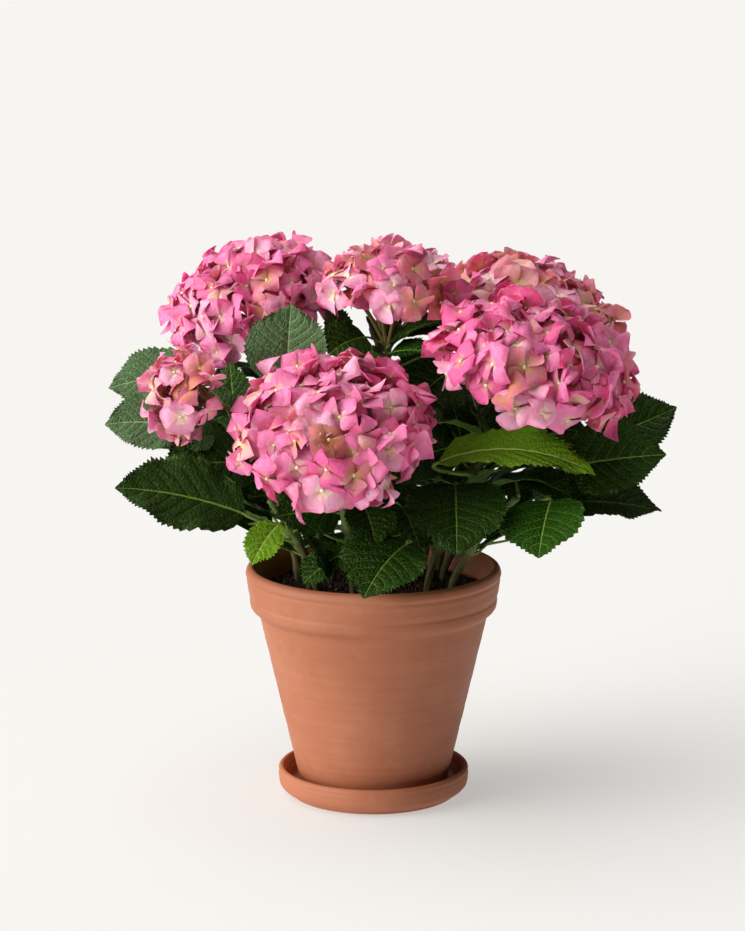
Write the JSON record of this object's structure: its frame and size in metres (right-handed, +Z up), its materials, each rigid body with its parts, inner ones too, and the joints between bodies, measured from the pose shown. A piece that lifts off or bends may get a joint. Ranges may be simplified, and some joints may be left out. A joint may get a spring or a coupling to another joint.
{
  "type": "potted hydrangea shrub",
  "caption": "Flowering hydrangea shrub with domed pink flower heads over broad toothed leaves, growing in a round terracotta pot that stands in a matching saucer.",
  "frame": {"origin": "centre of the saucer's flat underside", "axes": "+Z up the pot's axis, -Y towards the side with the lowest flower head (the front), +X to the right seen from the front"},
  "size_m": [0.4693, 0.3928, 0.4578],
  "materials": {
    "terracotta": "matt fired clay",
    "soil": "rough, dark potting soil",
    "stem": "satin green bark, browner at the foot",
    "leaf": "slightly glossy, veined leaf",
    "petal": "soft matt petal"
  },
  "bodies": {
    "root": {"saucer": "terracotta", "pot": "terracotta", "soil": "soil", "stem_front": "stem", "leaves_front": "leaf", "stem_left_back": "stem", "leaves_left_back": "leaf", "stem_centre": "stem", "leaves_centre": "leaf", "stem_right_back": "stem", "leaves_right_back": "leaf", "stem_right_front": "stem", "leaves_right_front": "leaf", "stem_left_small": "stem", "leaves_left_small": "leaf", "stem_back": "stem", "leaves_back": "leaf", "stem_left_low": "stem", "leaves_left_low": "leaf", "stem_left_side": "stem", "leaves_left_side": "leaf", "stem_right_low": "stem", "leaves_right_low": "leaf", "stem_right_side": "stem", "leaves_right_side": "leaf", "stem_back_left": "stem", "leaves_back_left": "leaf", "stem_back_right": "stem", "leaves_back_right": "leaf", "flower_front": "petal", "flower_left_back": "petal", "flower_centre": "petal", "flower_right_back": "petal", "flower_right_front": "petal", "flower_left_small": "petal", "flower_back": "petal"}
  },
  "joints": []
}
